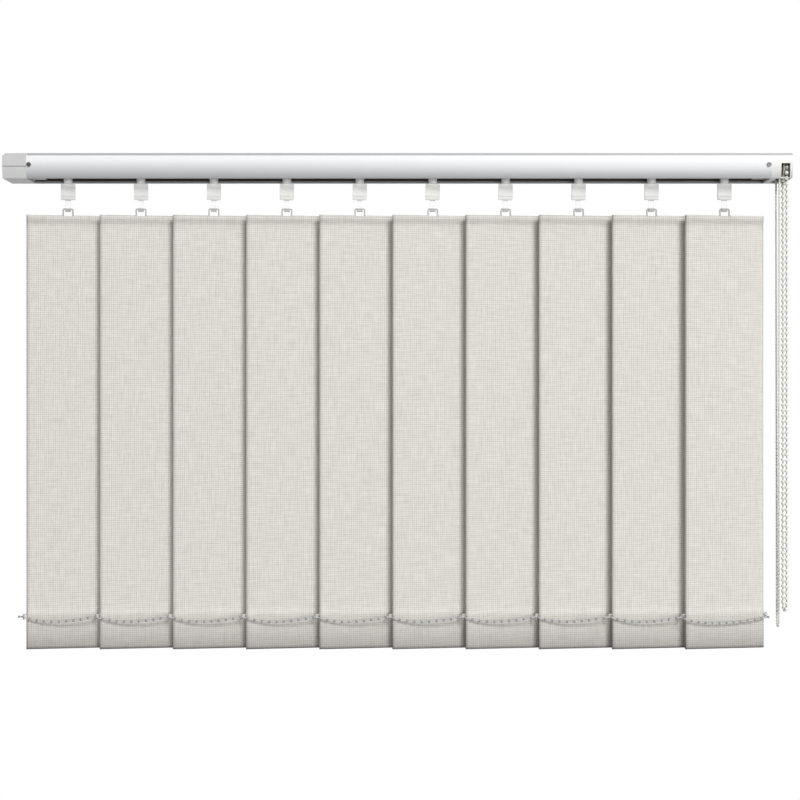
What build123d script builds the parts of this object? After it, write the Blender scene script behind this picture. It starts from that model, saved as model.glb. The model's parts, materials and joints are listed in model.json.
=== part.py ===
from build123d import *
import os
from math import cos, pi, radians, sin

os.makedirs("parts", exist_ok=True)

# Driving dimensions in millimetres. X runs along the rail, the room lies towards -Y
# and Z = 0 is the ceiling that the rail is clipped to.
slat_count = 10
slat_width = 89.0
slat_length = 475.0
slat_pitch = 80.0
slat_drop = 64.9  # ceiling to the top of the cloth
closed_tilt = 8.0  # degrees that the closed slats stand off the rail's line
stack_pitch = 24.0  # spacing of the carriers when the blind is drawn open
first_inset = 40.5  # rail's left end to the axis of the first slat
rail_length = 807.0
rail_depth = 44.0
rail_height = 27.2
overrun = 1.0  # how far a cut runs past the face that it opens
running_fit = 0.05  # radial, a shaft or pin in its hole
side_play = 0.3  # between faces that pass or face each other

# Rail section
rail_wall = 1.4
side_wall = 2.2
lip_height = 2.6  # plain lip along the top edge
lip_setback = 1.3
face_setback = 0.6  # bowed face at its upper edge
skirt_setback = 2.4  # bowed face at its lower edge
belly_drop = 10.8  # ceiling to where the face stands out furthest
channel_depth = 5.0  # open channel for the ceiling clips
channel_slot = 18.0
skirt_height = 3.3
slot_width = 28.0

half_depth = rail_depth / 2
rail_end = rail_length / 2
chamber_half = half_depth - side_wall
chamber_top = -(channel_depth + rail_wall)
chamber_floor = -(rail_height - skirt_height - rail_wall)
slot_under = chamber_floor - rail_wall
stem_places = [first_inset - rail_end + slat_pitch * number for number in range(slat_count)]
from_below = (Align.CENTER, Align.CENTER, Align.MIN)
from_above = (Align.CENTER, Align.CENTER, Align.MAX)
from_left = (Align.MIN, Align.CENTER, Align.CENTER)
on_base = (Align.CENTER, Align.MIN)

# Frame of each slat: origin on its stem's axis, local x along its width, local y to its back
tilt = radians(closed_tilt)
slat_frames = [Plane((place, 0, 0), x_dir=(cos(tilt), sin(tilt), 0)) for place in stem_places]


def through_cloth(frame):
    # Sketch x from front to back of the slat, sketch y up
    return Plane(frame.origin, x_dir=frame.y_dir, z_dir=frame.x_dir)


def along_cloth(frame):
    # Sketch x along the slat's width, sketch y up
    return Plane(frame.origin, x_dir=frame.x_dir, z_dir=-frame.y_dir)


def save(piece, name):
    piece.label = name
    export_step(piece, f"parts/{name}.step")


def rail_outline():
    lip_half = half_depth - lip_setback
    face_half = half_depth - face_setback
    skirt_half = half_depth - skirt_setback
    with BuildLine() as half_outline:
        Polyline((0, 0), (-lip_half, 0), (-lip_half, -lip_height), (-face_half, -lip_height))
        ThreePointArc((-face_half, -lip_height), (-half_depth, -belly_drop), (-skirt_half, -rail_height))
        Polyline((-skirt_half, -rail_height), (0, -rail_height), (0, 0))
    make_face(half_outline.edges())
    mirror(about=Plane.YZ)


# Headrail: clip channel on top, carrier chamber below it, slot between two inner ledges
screw_drop = 12.6
screw_inset = 3.0
screw_radius = 1.3
screw_head_radius = 2.4
screw_head_height = 1.2
screw_seat = half_depth + running_fit
screw_places = [(side * (rail_end - screw_inset), -screw_seat, -screw_drop) for side in (-1, 1)]
with BuildPart() as headrail:
    with BuildSketch(Plane.YZ):
        rail_outline()
        with Locations((0, -rail_wall)):
            Rectangle(channel_slot, rail_wall + overrun, align=on_base, mode=Mode.SUBTRACT)
        with Locations((0, -channel_depth)):
            channel_width = 2 * (half_depth - lip_setback - rail_wall)
            Rectangle(channel_width, channel_depth - rail_wall, align=on_base, mode=Mode.SUBTRACT)
        with Locations((0, chamber_floor)):
            Rectangle(2 * chamber_half, chamber_top - chamber_floor, align=on_base, mode=Mode.SUBTRACT)
        with Locations((0, slot_under)):
            Rectangle(slot_width, 2 * rail_wall, align=on_base, mode=Mode.SUBTRACT)
        with Locations((0, -rail_height)):
            recess_width = 2 * (half_depth - skirt_setback - rail_wall)
            Rectangle(recess_width, skirt_height, align=on_base, mode=Mode.SUBTRACT)
    extrude(amount=rail_end, both=True)
    with Locations(*screw_places):
        Cylinder(screw_radius + running_fit, 3 * side_wall, rotation=(90, 0, 0), mode=Mode.SUBTRACT)
save(headrail.part, "headrail")

# Ceiling clips: sprung hat section that sits in the channel and hooks under its lips
clip_spacing = 560.0
clip_length = 38.0
clip_gauge = 1.2
clip_flange = 4.0
clip_hole_radius = 2.3
clip_half = channel_slot / 2 - side_play
hook_level = -(rail_wall + running_fit + clip_gauge)
with BuildPart() as ceiling_clips:
    for side in (-1, 1):
        with BuildSketch(Plane.YZ.offset(side * clip_spacing / 2)):
            with Locations((0, -clip_gauge)):
                Rectangle(2 * clip_half, clip_gauge, align=on_base)
            with Locations((0, hook_level)):
                Rectangle(2 * (clip_half + clip_flange), clip_gauge, align=on_base)
                Rectangle(2 * clip_half, -hook_level, align=on_base)
                clip_inside = 2 * (clip_half - clip_gauge)
                Rectangle(clip_inside, -hook_level - clip_gauge, align=on_base, mode=Mode.SUBTRACT)
        extrude(amount=clip_length / 2, both=True)
    with Locations((-clip_spacing / 2, 0, 0), (clip_spacing / 2, 0, 0)):
        Hole(clip_hole_radius)
save(ceiling_clips.part, "ceiling_clips")

# Tilt drive: fluted rod that runs in front of the stems, with the chain wheel on its right end
wheel_radius = 5.0  # worm wheel on each stem
wheel_height = 4.6
worm_radius = 3.4
gear_gap = 0.3
worm_ground = 0.6  # worm above the floor of its pocket
carrier_clearance = 1.6  # carrier above the rail's ledges
carrier_base = 2.3
rod_radius = 2.2
rod_flute = 0.45
flute_count = 3
cap_length = 26.0
cap_wall = 2.0
housing_length = 21.2
cover_gauge = 1.8
rod_seat = 1.2  # hold of the rod's ends in the cap's and the cover's bearings
carrier_floor = chamber_floor + carrier_clearance
pocket_floor = carrier_floor + carrier_base
rod_offset = wheel_radius + worm_radius + gear_gap
rod_level = pocket_floor + worm_ground + worm_radius
rod_left = -(rail_end + cap_length - cap_wall)
rod_right = rail_end + housing_length + rod_seat
with BuildPart() as tilt_rod:
    with BuildSketch(Plane.YZ.offset(rod_left)):
        with Locations((-rod_offset, rod_level)):
            Circle(rod_radius)
            with PolarLocations(rod_radius, flute_count):
                Circle(rod_flute, mode=Mode.SUBTRACT)
    extrude(amount=rod_right - rod_left)
save(tilt_rod.part, "tilt_rod")

bead_pitch = 6.0
bead_radius = 2.25
bead_neck = 0.6
pocket_count = 8
chain_inset = 17.4  # rail's right end to the plane of the chain wheel
groove_play = 0.35
flange_width = 0.7
flange_rise = 1.0  # flanges beyond the beads' pitch circle
pocket_depth = 0.3
wheel_place = rail_end + chain_inset
chain_ring = pocket_count * bead_pitch / (2 * pi)
groove_radius = bead_radius + groove_play
with BuildPart(Plane((wheel_place, -rod_offset, rod_level), z_dir=(1, 0, 0))) as chain_wheel:
    Cylinder(chain_ring - groove_radius, 2 * (groove_radius + flange_width))
    with PolarLocations(chain_ring, pocket_count):
        Cylinder(groove_radius + pocket_depth, 2 * groove_radius, mode=Mode.SUBTRACT)
    with Locations((0, 0, groove_radius), (0, 0, -groove_radius - flange_width)):
        Cylinder(chain_ring + flange_rise, flange_width, align=from_below)
    Hole(rod_radius + running_fit)
save(chain_wheel.part, "chain_wheel")

# Return end cap: carries the rod's left end and the pulley that turns the pull cord round
cord_radius = 1.3
cord_offset = 15.2  # the cord's two runs to either side of the stems
cord_drop = 2.9  # chamber's top to the cord
pulley_rim = 1.5  # pulley's flanges beyond the cord's centre line
pulley_height = 4.4
pin_radius = 2.0
pin_grip = 2.0  # pin's hold in the cap above and below the pulley
pulley_inset = 5.0  # rail's left end to the pulley's axis
plug_length = 14.0
plug_gauge = 1.8
plug_play = 0.2
cap_chamfer = 3.0
seam_drop = 14.4
seam_depth = 0.6
cord_level = chamber_top - cord_drop
pulley_radius = cord_offset + pulley_rim
pulley_place = -(rail_end + pulley_inset)
pulley_slot = pulley_height + 2 * side_play
cheek_half = chamber_half - plug_play


def end_plug(side):
    # Two cheeks that slide into the rail's chamber and a tongue that closes the end of its slot
    root = plug_gauge
    cheek_height = chamber_top - chamber_floor - 2 * plug_play
    cheek_middle = (chamber_top + chamber_floor) / 2
    middle = side * (rail_end + root / 2 - plug_length / 2)
    with Locations(*[(middle, back * (cheek_half - plug_gauge / 2), cheek_middle) for back in (-1, 1)]):
        Box(plug_length + root, plug_gauge, cheek_height)
    with Locations((middle, 0, slot_under)):
        Box(plug_length + root, slot_width - 2 * plug_play, rail_wall, align=from_below)


with BuildPart() as return_end_cap:
    with BuildSketch(Plane.YZ.offset(-rail_end)):
        rail_outline()
    extrude(amount=-cap_length)
    top_edge = return_end_cap.edges().filter_by(Axis.Y).group_by(Axis.Z)[-1].sort_by(Axis.X)[0]
    chamfer(top_edge, cap_chamfer)
    with Locations((-rail_end - cap_length / 2, -half_depth, -seam_drop)):
        Box(cap_length + overrun, 2 * seam_depth, seam_depth, mode=Mode.SUBTRACT)
    end_plug(-1)
    with Locations((pulley_place, 0, cord_level)):
        Cylinder(pulley_radius + side_play, pulley_slot, mode=Mode.SUBTRACT)
        Box(cap_length, 2 * (pulley_radius + side_play), pulley_slot, align=from_left, mode=Mode.SUBTRACT)
        Cylinder(pin_radius, pulley_slot + 2 * pin_grip, mode=Mode.SUBTRACT)
    with Locations((rod_left - side_play, -rod_offset, rod_level)):
        bearing_radius = rod_radius + running_fit
        Cylinder(bearing_radius, cap_length, rotation=(0, 90, 0), align=from_below, mode=Mode.SUBTRACT)
    with Locations(screw_places[0]):
        Cylinder(screw_radius, rail_depth / 2, rotation=(90, 0, 0), mode=Mode.SUBTRACT)
save(return_end_cap.part, "return_end_cap")

with BuildPart(Plane((pulley_place, 0, cord_level))) as return_pulley:
    Cylinder(pulley_radius, pulley_height)
    groove_half = cord_radius + side_play
    with BuildSketch(Plane((pulley_place, 0, cord_level - groove_half))):
        Circle(pulley_radius + overrun)
        Circle(cord_offset - groove_half, mode=Mode.SUBTRACT)
    extrude(amount=2 * groove_half, mode=Mode.SUBTRACT)
    Hole(pin_radius + running_fit)
save(return_pulley.part, "return_pulley")

with BuildPart(Plane((pulley_place, 0, cord_level))) as return_pin:
    Cylinder(pin_radius, pulley_slot + 2 * pin_grip)
save(return_pin.part, "return_pulley_pin")

# Control housing: chain wheel and two guide pulleys behind a bowed face with an open window
housing_wall = 1.8
guide_radius = 5.0  # the cord's turn over a guide pulley
guide_rim = 0.9
guide_width = 4.4
guide_pin_radius = 1.5
guide_seat = 1.0
cord_inset = 10.0  # rail's right end to the front strand of the cord
strand_step = 4.0  # along the rail between the cord's two strands
window_inset = 10.4
window_width = 9.6
window_drop = 10.9
rib_gauge = 1.5
mouth_inset = 6.5
guide_level = cord_level - guide_radius
strand_places = [rail_end + cord_inset, rail_end + cord_inset + strand_step]
guide_places = [(strand_places[0] - guide_radius, -1), (strand_places[1] - guide_radius, 1)]
rib_half = cord_offset - guide_width / 2 - side_play
rib_middle = rib_half - rib_gauge / 2
pin_outer = chamber_half + guide_seat
pin_inner = rib_half - rib_gauge
pin_middle = (pin_outer + pin_inner) / 2
with BuildPart() as control_housing:
    with BuildSketch(Plane.YZ.offset(rail_end)):
        rail_outline()
    extrude(amount=housing_length)
    inside_height = rail_height - 2 * housing_wall
    with Locations((rail_end + housing_wall, 0, -rail_height / 2)):
        Box(housing_length, 2 * chamber_half, inside_height, align=from_left, mode=Mode.SUBTRACT)
    # Bulkhead against the rail, open between the plug's cheeks
    with Locations((rail_end, 0, (chamber_top + chamber_floor) / 2)):
        opening_width = 2 * (cheek_half - plug_gauge)
        opening_height = chamber_top - chamber_floor - 2 * plug_play
        Box(2 * housing_wall, opening_width, opening_height, mode=Mode.SUBTRACT)
    with Locations((rail_end + mouth_inset, 0, -rail_height)):
        mouth_width = 2 * (half_depth - skirt_setback - housing_wall)
        Box(housing_length, mouth_width, 2 * housing_wall + overrun, align=from_left, mode=Mode.SUBTRACT)
    with Locations((rail_end + window_inset + window_width / 2, -half_depth, -window_drop)):
        Box(window_width, 3 * side_wall, rail_height, align=from_above, mode=Mode.SUBTRACT)
    for place, back in guide_places:
        with Locations((place, back * rib_middle, -housing_wall)):
            Box(2 * guide_radius, rib_gauge, inside_height, align=from_above)
        with Locations((place, back * pin_middle, guide_level)):
            Cylinder(guide_pin_radius, pin_outer - pin_inner, rotation=(90, 0, 0), mode=Mode.SUBTRACT)
    end_plug(1)
    with Locations(screw_places[1]):
        Cylinder(screw_radius, rail_depth / 2, rotation=(90, 0, 0), mode=Mode.SUBTRACT)
save(control_housing.part, "control_housing")

with BuildPart() as control_cover:
    with BuildSketch(Plane.YZ.offset(rail_end + housing_length)):
        rail_outline()
    extrude(amount=cover_gauge)
    chamfer(control_cover.faces().sort_by(Axis.X)[-1].edges(), cover_gauge / 3)
    with Locations((rail_end + housing_length, -rod_offset, rod_level)):
        bore_length = 2 * (rod_seat + running_fit)
        Cylinder(rod_radius + running_fit, bore_length, rotation=(0, 90, 0), mode=Mode.SUBTRACT)
save(control_cover.part, "control_cover")

with BuildPart() as guide_pins:
    with Locations(*[(place, back * pin_middle, guide_level) for place, back in guide_places]):
        Cylinder(guide_pin_radius, pin_outer - pin_inner, rotation=(90, 0, 0))
save(guide_pins.part, "guide_pulley_pins")

guide_flange = (guide_width - 2 * groove_half) / 2
for (place, back), name in zip(guide_places, ("front_guide_pulley", "rear_guide_pulley")):
    with BuildPart(Plane((place, back * cord_offset, guide_level), z_dir=(0, -1, 0))) as guide_pulley:
        Cylinder(guide_radius - cord_radius - running_fit, guide_width)
        with Locations((0, 0, guide_width / 2 - guide_flange), (0, 0, -guide_width / 2)):
            Cylinder(guide_radius + guide_rim, guide_flange, align=from_below)
        Hole(guide_pin_radius + running_fit)
    save(guide_pulley.part, name)

# Pan-head screws through the rail's face into the plugs
with BuildPart() as end_screws:
    for place in screw_places:
        with BuildSketch(Plane(place, z_dir=(0, -1, 0))):
            Circle(screw_head_radius)
        extrude(amount=screw_head_height)
        with BuildSketch(Plane(place, z_dir=(0, 1, 0))):
            Circle(screw_radius)
        extrude(amount=screw_seat - cheek_half + plug_gauge)
save(end_screws.part, "end_screws")

# Carriers: roller-borne boxes in the rail with a worm on the tilt rod and a strip to the next one
carrier_gap = 1.0  # between stacked carriers
carrier_depth = 34.0
headroom = 0.8
end_wall = 2.0
pocket_play = 1.0
journal_radius = 4.0  # stem's bearing in the carrier's base
worm_journal = 3.1
cord_groove = 1.6  # half height of the cord's grooves
roller_radius = 3.4
roller_width = 2.0
roller_lift = 0.2
axle_radius = 1.2
strip_width = 6.0
strip_gauge = 0.5
strip_levels = 4
strip_step = 0.9
strip_hold = 5.0  # how far short of the next stem a strip ends
strip_play = 0.6
carrier_length = stack_pitch - carrier_gap
carrier_roof = chamber_top - headroom
carrier_height = carrier_roof - carrier_floor
pocket_length = carrier_length - 2 * end_wall
pocket_front = rod_offset + worm_radius + pocket_play
pocket_back = wheel_radius + pocket_play
strip_middle = pocket_back - pocket_play - strip_width / 2
strip_roof = carrier_roof - headroom
notch_depth = headroom + strip_levels * strip_step
roller_level = chamber_floor + roller_lift + roller_radius
roller_inner = carrier_depth / 2 + side_play
for number, place in enumerate(stem_places):
    with BuildPart(Plane((place, 0, 0))) as carrier:
        with Locations((0, 0, carrier_floor)):
            Box(carrier_length, carrier_depth, carrier_height, align=from_below)
        with Locations((0, (pocket_back - pocket_front) / 2, pocket_floor)):
            pocket_width = pocket_back + pocket_front
            Box(pocket_length, pocket_width, carrier_height, align=from_below, mode=Mode.SUBTRACT)
        with Locations((0, strip_middle, carrier_roof)):
            notch_width = strip_width + 2 * strip_play
            Box(carrier_length, notch_width, 2 * notch_depth, mode=Mode.SUBTRACT)
        with Locations((0, 0, carrier_floor)):
            Cylinder(journal_radius + running_fit, 3 * carrier_base, mode=Mode.SUBTRACT)
        with Locations((0, -rod_offset, rod_level)):
            Cylinder(worm_journal + running_fit, carrier_length, rotation=(0, 90, 0), mode=Mode.SUBTRACT)
        groove_middle = (cord_offset - cord_groove + carrier_depth / 2) / 2
        groove_width = carrier_depth / 2 - cord_offset + cord_groove
        with Locations((0, -groove_middle, cord_level), (0, groove_middle, cord_level)):
            Box(carrier_length, groove_width, 2 * cord_groove, mode=Mode.SUBTRACT)
        for back in (-1, 1):
            with Locations((0, back * (roller_inner + roller_width / 2), roller_level)):
                Cylinder(roller_radius, roller_width, rotation=(90, 0, 0))
            with Locations((0, back * (roller_inner + roller_width / 2 - end_wall), roller_level)):
                Cylinder(axle_radius, roller_width + 2 * end_wall, rotation=(90, 0, 0))
        if number > 0:
            strip_level = strip_roof - strip_step * (number % strip_levels) - strip_gauge / 2
            strip_length = slat_pitch - strip_hold + carrier_length / 2
            with Locations((carrier_length / 2 - strip_length / 2, strip_middle, strip_level)):
                Box(strip_length, strip_width, strip_gauge)
            with Locations((carrier_length / 2 - end_wall / 2, strip_middle, strip_level)):
                Box(end_wall, notch_width, strip_gauge)
    worm_plane = Plane((place, -rod_offset, rod_level), z_dir=(1, 0, 0))
    with BuildPart(worm_plane) as worm:
        Cylinder(worm_radius, pocket_length - 2 * side_play)
        Cylinder(worm_journal, carrier_length)
        Hole(rod_radius + running_fit)
    save(Compound(children=[carrier.part, worm.part]), f"carrier_{number + 1:02d}")

# Hooks and hangers: worm wheel and stem in one with the hook, and the loop that hangs in it
wheel_lift = 0.05
collar_radius = 4.7
collar_drop = 6.6  # collar's foot below the rail's slot
blade_width = 15.5
blade_gauge = 3.0
blade_height = 17.5
blade_round = 1.0
rib_rise = 0.5
rib_height = 1.6
rib_drop = 13.0
tongue_width = 6.0
tongue_gauge = 1.8
tongue_offset = 2.0  # tongue's middle behind the plane of the slat
crook_depth = 1.8
tip_gauge = 1.4
tip_height = 1.6
hanger_gauge = 1.0
loop_width = 12.0
loop_height = 7.6
loop_bar = 1.6
loop_round = 2.0
bar_rest = 0.1  # loop's bar above the floor of the crook
plate_width = 80.0
plate_height = 6.2
plate_drop = 0.7
collar_top = carrier_floor - side_play
collar_foot = slot_under - collar_drop
blade_foot = collar_foot - blade_height
slat_top = -slat_drop
loop_top = slat_top + loop_height
crook_floor = loop_top - loop_bar - bar_rest
crook_foot = crook_floor - crook_depth
crook_front = tip_gauge + tongue_offset - tongue_gauge
tongue_back = tongue_offset + tongue_gauge / 2
for number, frame in enumerate(slat_frames):
    with BuildPart(frame) as hook:
        with Locations((0, 0, pocket_floor + wheel_lift)):
            Cylinder(wheel_radius, wheel_height, align=from_below)
        with Locations((0, 0, collar_top)):
            Cylinder(journal_radius, pocket_floor + wheel_lift - collar_top, align=from_below)
            Cylinder(collar_radius, collar_top - collar_foot, align=from_above)
        with BuildSketch(along_cloth(frame)):
            with Locations((0, blade_foot)):
                Rectangle(blade_width, blade_height, align=on_base)
            fillet(vertices(), blade_round)
        extrude(amount=blade_gauge / 2, both=True)
        with Locations((0, 0, collar_foot - rib_drop)):
            Box(blade_width, blade_gauge + 2 * rib_rise, rib_height)
        with BuildSketch(through_cloth(frame)):
            with Locations((tongue_offset, crook_foot)):
                Rectangle(tongue_gauge, blade_foot + blade_round - crook_foot, align=on_base)
            with Locations(((tongue_back - crook_front) / 2, crook_foot)):
                Rectangle(tongue_back + crook_front, crook_depth, align=on_base)
            with Locations((tip_gauge / 2 - crook_front, crook_foot)):
                Rectangle(tip_gauge, crook_depth + tip_height, align=on_base)
        extrude(amount=tongue_width / 2, both=True)
    with BuildPart() as hanger:
        with BuildSketch(along_cloth(frame)):
            with Locations((0, slat_top - plate_drop)):
                Rectangle(loop_width, loop_height + plate_drop, align=on_base)
            fillet(vertices().group_by(Axis.Y)[-1], loop_round)
            with Locations((0, slat_top - plate_drop)):
                Rectangle(loop_width - 2 * loop_bar, plate_drop + loop_height - loop_bar, align=on_base,
                          mode=Mode.SUBTRACT)
            with Locations((0, slat_top - plate_drop - plate_height)):
                Rectangle(plate_width, plate_height, align=on_base)
        extrude(amount=hanger_gauge / 2, both=True)
    save(Compound(children=[hook.part, hanger.part]), f"hook_and_hanger_{number + 1:02d}")

# Slats: one layer of cloth with a pocket folded at the top and a deeper one at the bottom
cloth_gauge = 0.5
top_hem = 8.5
top_room = 0.65  # half depth of the pocket round the hanger
bottom_hem = 41.0
bottom_room = 0.85  # half depth of the pocket round the weight
hem_taper = 1.5
slat_foot = slat_top - slat_length


def hem(edge, depth, room, inward):
    outer = room + cloth_gauge
    end = edge + inward * depth
    knee = end - inward * hem_taper
    with BuildLine() as fold:
        Polyline((-cloth_gauge / 2, end), (-outer, knee), (-outer, edge), (outer, edge), (outer, knee),
                 (cloth_gauge / 2, end), close=True)
    make_face(fold.edges())
    with Locations((0, (knee + edge + inward * cloth_gauge) / 2)):
        Rectangle(2 * room, abs(knee - edge) - cloth_gauge, mode=Mode.SUBTRACT)


for number, frame in enumerate(slat_frames):
    with BuildPart(frame) as slat:
        with BuildSketch(through_cloth(frame)):
            with Locations((0, slat_foot + bottom_hem)):
                Rectangle(cloth_gauge, slat_length - bottom_hem - top_hem, align=on_base)
            hem(slat_top, top_hem, top_room, -1)
            hem(slat_foot, bottom_hem, bottom_room, 1)
        extrude(amount=slat_width / 2, both=True)
        with Locations((0, 0, slat_top)):
            notch = loop_width + 2 * side_play
            Box(notch, 2 * top_hem, 2 * plate_drop, mode=Mode.SUBTRACT)
    save(slat.part, f"slat_{number + 1:02d}")

# Weights in the bottom pockets, with an ear at each end for the spacer chains
weight_width = 85.0
weight_height = 38.0
weight_gauge = 1.4
weight_rest = 0.4  # weight above the fold at the bottom of its pocket
ear_reach = 47.5
ear_height = 1.4
ear_round = 1.2
ear_pin_radius = 0.8
ring_height = 1.6
ear_head_radius = 1.2
ear_head_height = 0.7
weight_foot = slat_foot + cloth_gauge + weight_rest
weight_top = weight_foot + weight_height
ear_under = weight_top - ear_height
pin_length = 2 * ring_height + 3 * side_play
for number, frame in enumerate(slat_frames):
    with BuildPart(frame) as weight:
        with Locations((0, 0, weight_foot)):
            Box(weight_width, weight_gauge, weight_height, align=from_below)
        with Locations((0, 0, ear_under)):
            Box(2 * (ear_reach + ear_round), weight_gauge, ear_height, align=from_below)
        with Locations((-ear_reach, 0, ear_under), (ear_reach, 0, ear_under)):
            Cylinder(ear_pin_radius, pin_length, align=from_above)
        head_level = ear_under - pin_length
        with Locations((-ear_reach, 0, head_level), (ear_reach, 0, head_level)):
            Cylinder(ear_head_radius, ear_head_height, align=from_above)
    save(weight.part, f"weight_{number + 1:02d}")

# Spacer chains: strings of small beads in front of and behind the slats, clipped to the ears
clip_play = 0.1
ring_gauge = 1.0
arm_reach = 3.0  # ear pin to the chain's line
arm_width = 1.4
small_bead = 1.5
small_neck = 0.5
span_beads = 10
small_sides = 4
sag = 7.0
end_bead = 4.0  # first clip to the loose bead beyond it
ring_inner = ear_pin_radius + clip_play
ring_outer = ring_inner + ring_gauge
upper_ring = ear_under - side_play
lower_ring = upper_ring - ring_height - side_play
reach_along = ear_reach * cos(tilt)
reach_across = ear_reach * sin(tilt)


def clip_rings(places, level, outward):
    # Rings that hang on the ear pins, each with an arm out to the chain
    with Locations(*[(place, across, level) for place, across in places]):
        Cylinder(ring_outer, ring_height, align=from_above)
    arm_length = arm_reach + arm_width / 2
    with Locations(*[(place, across + outward * arm_length / 2, level) for place, across in places]):
        Box(arm_width, arm_length, ring_height, align=from_above)
    with Locations(*[(place, across, level) for place, across in places]):
        Cylinder(ring_inner, 3 * ring_height, mode=Mode.SUBTRACT)


def beaded_span(start, across, level, length):
    # Half bead steps along a shallow curve from one clip to the next
    steps = 2 * span_beads
    with BuildPart() as span:
        for step in range(steps + 1):
            share = step / steps
            middle = (start + share * length, across, level - 4 * sag * share * (1 - share))
            heading = (length, 0, -4 * sag * (1 - 2 * share))
            with BuildSketch(Plane(middle, x_dir=(0, 1, 0), z_dir=heading)):
                RegularPolygon(small_bead if step % 2 else small_neck, small_sides)
        loft(ruled=True)
    return span.part


def spacer_chain(outward):
    places = [(place + outward * reach_along, outward * reach_across) for place in stem_places]
    line = outward * (reach_across + arm_reach)
    level = upper_ring - ring_height / 2
    with BuildPart() as chain:
        clip_rings(places, upper_ring, outward)
        for place in stem_places[:-1]:
            add(beaded_span(place + outward * reach_along, line, level, slat_pitch))
        with Locations((places[0][0] - end_bead, line, level)):
            Sphere(small_bead)
            Cylinder(small_neck, end_bead, rotation=(0, 90, 0), align=from_below)
    return chain.part


save(spacer_chain(-1), "front_spacer_chain")
save(spacer_chain(1), "rear_spacer_chain")

# Tail of the front chain, laid across the last slat between its own two ears
with BuildPart() as spacer_tail:
    clip_rings([(-ear_reach, 0), (ear_reach, 0)], lower_ring, -1)
    tail_level = lower_ring - ring_height / 2
    add(beaded_span(-ear_reach, -arm_reach, tail_level, 2 * ear_reach))
save(slat_frames[-1].location * spacer_tail.part, "spacer_chain_tail")

# Control chain: endless beads over the chain wheel, with a free turn of the same size below
strand_beads = 79
chain_sides = 6
chain_gap = 0.1  # between the two ends of the drawn loop
strand_length = strand_beads * bead_pitch
half_turn = pi * chain_ring
bead_count = 2 * strand_beads + pocket_count


def chain_plane(distance):
    # Up the front strand, over the wheel, down the rear strand and round the bottom
    back = distance >= strand_length + half_turn
    side = 1 if back else -1
    along = distance - strand_length - half_turn if back else distance
    foot = rod_level if back else rod_level - strand_length
    straight = min(along, strand_length)
    turn = max(along - strand_length, 0) / chain_ring
    across = side * chain_ring * cos(turn) - rod_offset
    level = foot - side * (straight + chain_ring * sin(turn))
    heading = (0, -side * sin(turn), -side * cos(turn))
    return Plane((wheel_place, across, level), x_dir=(1, 0, 0), z_dir=heading)


with BuildPart() as control_chain:
    for step in range(2 * bead_count):
        with BuildSketch(chain_plane(step * bead_pitch / 2)):
            RegularPolygon(bead_radius if step % 2 else bead_neck, chain_sides)
    with BuildSketch(chain_plane(bead_count * bead_pitch - chain_gap)):
        RegularPolygon(bead_neck, chain_sides)
    loft(ruled=True)
save(control_chain.part, "control_chain")

# Pull cord: from the lead carrier over the front guide pulley, down and up again in a free loop,
# over the rear one, along the rail and round the return pulley back to the lead carrier
loop_foot = 515.3  # ceiling to the bottom of the hanging loop
loop_half = 6.2
loop_skew = 0.6
loop_radius = 5.5
cord_end = 1.0  # each end from the middle of the lead carrier
loop_place = (strand_places[0] + strand_places[1]) / 2
turn_place = pulley_place - cord_offset
turn_radius = cord_offset - running_fit
cord_radii = [guide_radius, loop_radius, loop_radius, guide_radius, turn_radius, turn_radius]
print("pull cord radii", cord_radii, "on a diameter of", 2 * cord_radius)
with BuildPart() as pull_cord:
    with BuildLine() as cord_path:
        FilletPolyline(
            (stem_places[0] + cord_end, -cord_offset, cord_level),
            (strand_places[0], -cord_offset, cord_level),
            (loop_place - loop_skew, -loop_half, -loop_foot),
            (loop_place + loop_skew, loop_half, -loop_foot),
            (strand_places[1], cord_offset, cord_level),
            (turn_place, cord_offset, cord_level),
            (turn_place, -cord_offset, cord_level),
            (stem_places[0] - cord_end, -cord_offset, cord_level),
            radius=cord_radii,
        )
    with BuildSketch(Plane(cord_path.line @ 0, z_dir=cord_path.line % 0)):
        Circle(cord_radius)
    sweep()
save(pull_cord.part, "pull_cord")
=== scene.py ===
import json
import math
import random
import bmesh
import bpy
from mathutils import Matrix, Vector


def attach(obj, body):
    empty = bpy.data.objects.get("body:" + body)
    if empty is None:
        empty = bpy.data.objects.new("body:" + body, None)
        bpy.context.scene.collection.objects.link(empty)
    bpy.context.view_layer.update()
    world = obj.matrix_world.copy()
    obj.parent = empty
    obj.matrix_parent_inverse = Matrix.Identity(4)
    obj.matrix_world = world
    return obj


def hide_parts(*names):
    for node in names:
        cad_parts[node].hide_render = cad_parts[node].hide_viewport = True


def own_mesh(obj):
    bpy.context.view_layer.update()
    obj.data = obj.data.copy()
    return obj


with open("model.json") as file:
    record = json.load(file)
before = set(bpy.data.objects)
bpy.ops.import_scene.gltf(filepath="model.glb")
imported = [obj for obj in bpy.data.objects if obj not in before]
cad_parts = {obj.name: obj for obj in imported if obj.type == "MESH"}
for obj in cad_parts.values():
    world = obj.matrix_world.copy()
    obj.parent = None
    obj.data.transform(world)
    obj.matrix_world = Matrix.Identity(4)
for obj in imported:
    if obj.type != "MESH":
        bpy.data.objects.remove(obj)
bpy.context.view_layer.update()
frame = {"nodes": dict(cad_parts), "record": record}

nodes = frame["nodes"]
mm = 0.001
slatCount = 10
tiltAngle = math.radians(8.0)
acrossSlat = Vector((math.cos(tiltAngle), math.sin(tiltAngle), 0))
throughSlat = Vector((-math.sin(tiltAngle), math.cos(tiltAngle), 0))
firstStem, slatPitch = -363.0, 80.0
stemPlaces = [Vector(((firstStem + slatPitch * n) * mm, 0, 0)) for n in range(slatCount)]
bpy.context.scene.view_settings.view_transform = "Standard"


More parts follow.
